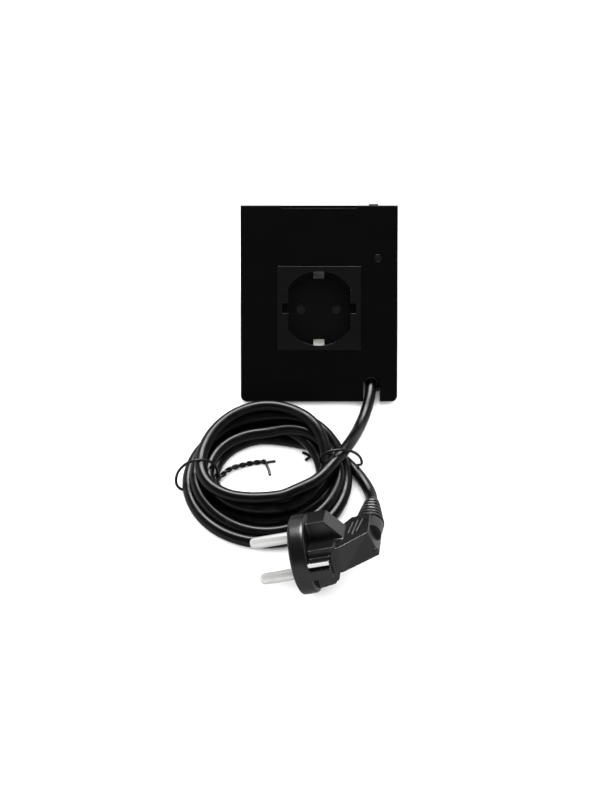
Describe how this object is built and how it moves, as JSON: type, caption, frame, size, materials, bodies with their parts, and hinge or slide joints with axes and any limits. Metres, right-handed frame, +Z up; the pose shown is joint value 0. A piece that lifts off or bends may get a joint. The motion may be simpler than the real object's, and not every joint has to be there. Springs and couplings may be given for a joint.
{
  "type": "smart plug",
  "caption": "Desk smart socket: a sloping black housing with a square recessed earthed socket, a push button, a coiled mains lead and an angled plug.",
  "frame": {"origin": "on the surface it stands on, under the middle of the housing", "axes": "+X to the right as seen from the socket side, +Y to the rear, +Z up; the face slopes up and back at 45 degrees"},
  "size_m": [0.1125, 0.2173, 0.0779],
  "materials": {
    "panel": "fine satin",
    "housing": "fine grain",
    "rubber": "matt",
    "module": "satin",
    "carrier": "plain",
    "brass": "bare",
    "spring_metal": "bright",
    "steel": "zinc plated",
    "board": "solder mask",
    "component": "moulded",
    "terminal": "moulded",
    "shield": "tin plated",
    "led": "diffused",
    "fuse_glass": "clear",
    "lens": "smoked",
    "cord": "satin sheath",
    "core_brown": "satin",
    "core_blue": "satin",
    "core_green": "satin",
    "tie": "coated wire",
    "plug_mould": "fine grain",
    "nickel": "satin nickel",
    "shutter": "plain",
    "button": "satin"
  },
  "bodies": {
    "body": {"front_panel": "panel", "housing": "housing", "rubber_feet": "rubber", "socket_cover": "module", "socket_base": "carrier", "live_contact": "brass", "neutral_contact": "brass", "earth_strap": "spring_metal", "shutter_spring": "spring_metal", "mounting_frame": "steel", "frame_screws": "steel", "terminal_screws": "steel", "control_board": "board", "board_screws": "steel", "relay": "component", "power_module": "component", "board_terminal": "terminal", "radio_module": "shield", "status_led": "led", "capacitor": "component", "board_fuse": "fuse_glass", "light_pipe": "lens", "tact_switch": "component", "cord_relief": "rubber", "cord_clamp": "carrier", "clamp_screws": "steel", "cord_lead": "cord", "cord_tail": "cord", "mains_live_wire": "core_brown", "mains_neutral_wire": "core_blue", "earth_wire": "core_green", "socket_live_wire": "core_brown", "socket_neutral_wire": "core_blue", "cord_coil": "cord", "tie_left": "tie", "tie_right": "tie", "plug_body": "plug_mould", "plug_live_pin": "nickel", "plug_neutral_pin": "nickel", "plug_earth_clips": "nickel", "plug_boot": "plug_mould"},
    "shutter": {"socket_shutter": "shutter"},
    "button": {"button_cap": "button", "switch_plunger": "component"}
  },
  "joints": [
    {"name": "shutter_turn", "type": "hinge", "parent": "body", "child": "shutter", "pos_m": [0, 0.00502, 0.02465], "axis": [0, 0.7071, -0.7071], "range_deg": [0, 38], "stiffness_Nm_per_rad": 0.002, "springref_deg": -8.59},
    {"name": "button_press", "type": "slide", "parent": "body", "child": "button", "axis": [0, -0.7071, -0.7071], "range_m": [0, 0.0005], "stiffness_N_per_m": 1200, "springref_m": -0.0004}
  ]
}
